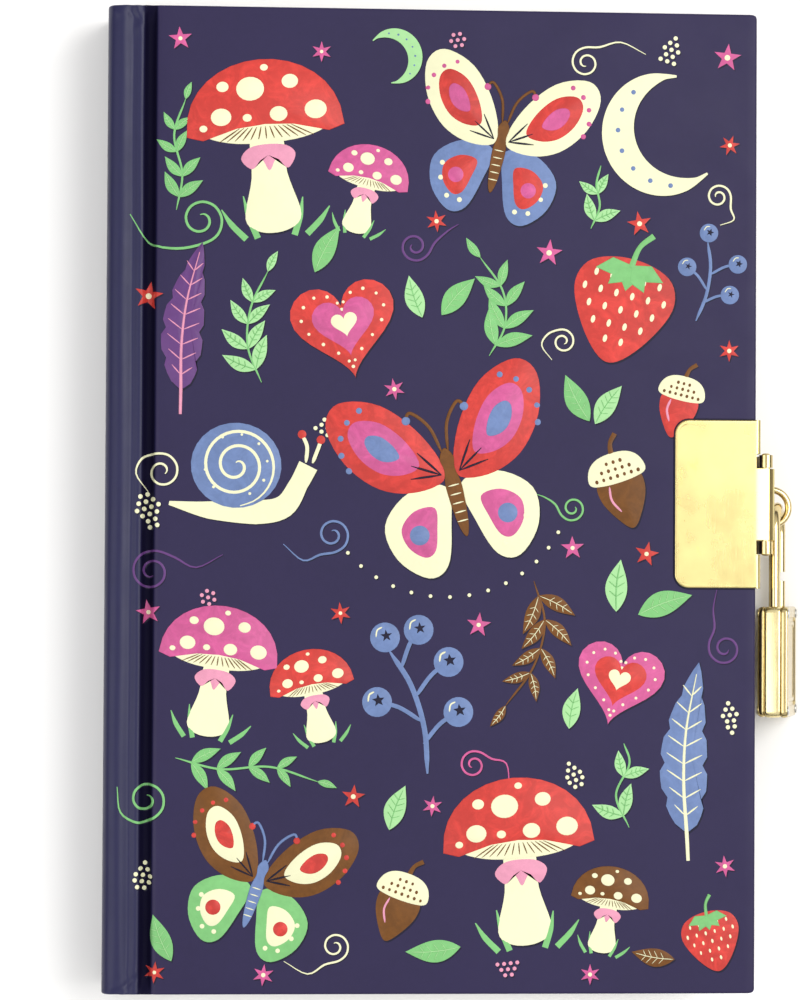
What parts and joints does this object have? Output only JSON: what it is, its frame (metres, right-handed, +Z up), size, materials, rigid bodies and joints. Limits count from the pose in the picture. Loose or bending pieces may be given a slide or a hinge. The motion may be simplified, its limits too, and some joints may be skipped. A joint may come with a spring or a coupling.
{
  "type": "secret diary",
  "caption": "Hardcover secret diary lying on its back, with brass hasp clasp on the fore edge and an open padlock hanging in the staple.",
  "frame": {"origin": "middle of the back cover's outer face, which the diary lies on", "axes": "+Z up out of the front cover, +X from the spine to the fore edge, +Y from tail to head"},
  "size_m": [0.1287, 0.178, 0.0189],
  "materials": {
    "cover_paper": "satin laminated, printed",
    "greyboard": "raw",
    "page_paper": "uncoated",
    "endpaper": "uncoated",
    "lining_cloth": "open weave",
    "band_thread": "woven",
    "plate_brass": "polished pale brass",
    "lock_brass": "polished brass, darker",
    "steel": "plain"
  },
  "bodies": {
    "text_block": {"spine_cover_paper": "cover_paper", "spine_board": "greyboard", "sewn_backs": "page_paper", "spine_lining": "lining_cloth", "head_band": "band_thread", "tail_band": "band_thread", "page_section_4": "page_paper", "page_section_5": "page_paper", "page_section_6": "page_paper", "page_section_7": "page_paper", "page_section_8": "page_paper", "back_flyleaf": "endpaper"},
    "front_cover": {"front_board": "greyboard", "front_cover_paper": "cover_paper", "front_pastedown": "endpaper", "front_plate": "plate_brass", "hasp_pin": "plate_brass"},
    "back_cover": {"back_board": "greyboard", "back_cover_paper": "cover_paper", "back_pastedown": "endpaper", "back_plate": "plate_brass", "ring_staple": "lock_brass"},
    "flyleaf": {"front_flyleaf": "endpaper"},
    "section_1": {"page_section_1": "page_paper"},
    "section_2": {"page_section_2": "page_paper"},
    "section_3": {"page_section_3": "page_paper"},
    "hasp": {"hasp_flap": "plate_brass"},
    "shackle": {"padlock_shackle": "lock_brass"},
    "lock_case": {"case_band": "lock_brass", "case_outer_shell": "lock_brass", "case_inner_shell": "lock_brass", "case_rivet_1": "steel", "case_rivet_2": "steel", "case_rivet_3": "steel", "case_rivet_4": "steel", "lock_core": "steel", "shackle_spring": "steel"},
    "plug": {"key_plug": "lock_brass"},
    "latch": {"latch_plate": "steel"}
  },
  "joints": [
    {"name": "front_cover_hinge", "type": "hinge", "parent": "text_block", "child": "front_cover", "pos_m": [-0.0518, 0, 0.01855], "axis": [0, -1, 0], "range_deg": [0, 180]},
    {"name": "back_cover_hinge", "type": "hinge", "parent": "text_block", "child": "back_cover", "pos_m": [-0.0518, 0, -0.00015], "axis": [0, 1, 0], "range_deg": [0, 180]},
    {"name": "flyleaf_turn", "type": "hinge", "parent": "text_block", "child": "flyleaf", "pos_m": [-0.0518, 0, 0.01855], "axis": [0, -1, 0], "range_deg": [0, 180]},
    {"name": "section_1_turn", "type": "hinge", "parent": "text_block", "child": "section_1", "pos_m": [-0.0518, 0, 0.01855], "axis": [0, -1, 0], "range_deg": [0, 180]},
    {"name": "section_2_turn", "type": "hinge", "parent": "text_block", "child": "section_2", "pos_m": [-0.0518, 0, 0.01855], "axis": [0, -1, 0], "range_deg": [0, 180]},
    {"name": "section_3_turn", "type": "hinge", "parent": "text_block", "child": "section_3", "pos_m": [-0.0518, 0, 0.01855], "axis": [0, -1, 0], "range_deg": [0, 180]},
    {"name": "hasp_hinge", "type": "hinge", "parent": "front_cover", "child": "hasp", "pos_m": [0.061, -0.00036, 0.01725], "axis": [0, -1, 0], "range_deg": [0, 175]},
    {"name": "padlock_takeoff", "type": "slide", "parent": "back_cover", "child": "shackle", "axis": [1, 0, 0], "range_m": [0, 0.05]},
    {"name": "shackle_push", "type": "slide", "parent": "shackle", "child": "lock_case", "axis": [0, 1, 0], "range_m": [0, 0.0085], "deforming": ["shackle_spring"]},
    {"name": "key_turn", "type": "hinge", "parent": "lock_case", "child": "plug", "pos_m": [0.06467, -0.0382, 0.0082], "axis": [0, 1, 0], "range_deg": [0, 90]},
    {"name": "latch_slide", "type": "slide", "parent": "lock_case", "child": "latch", "axis": [0.2756, 0, -0.9613], "range_m": [0, 0.0016]}
  ],
  "couplings": [
    {"joint": "flyleaf_turn", "follows": "front_cover_hinge", "ratio": 0.985},
    {"joint": "section_1_turn", "follows": "front_cover_hinge", "ratio": 0.96},
    {"joint": "section_2_turn", "follows": "front_cover_hinge", "ratio": 0.93},
    {"joint": "section_3_turn", "follows": "front_cover_hinge", "ratio": 0.9},
    {"joint": "hasp_hinge", "follows": "padlock_takeoff", "rad_per_m": 61.086},
    {"joint": "key_turn", "follows": "latch_slide", "rad_per_m": 981.7}
  ]
}
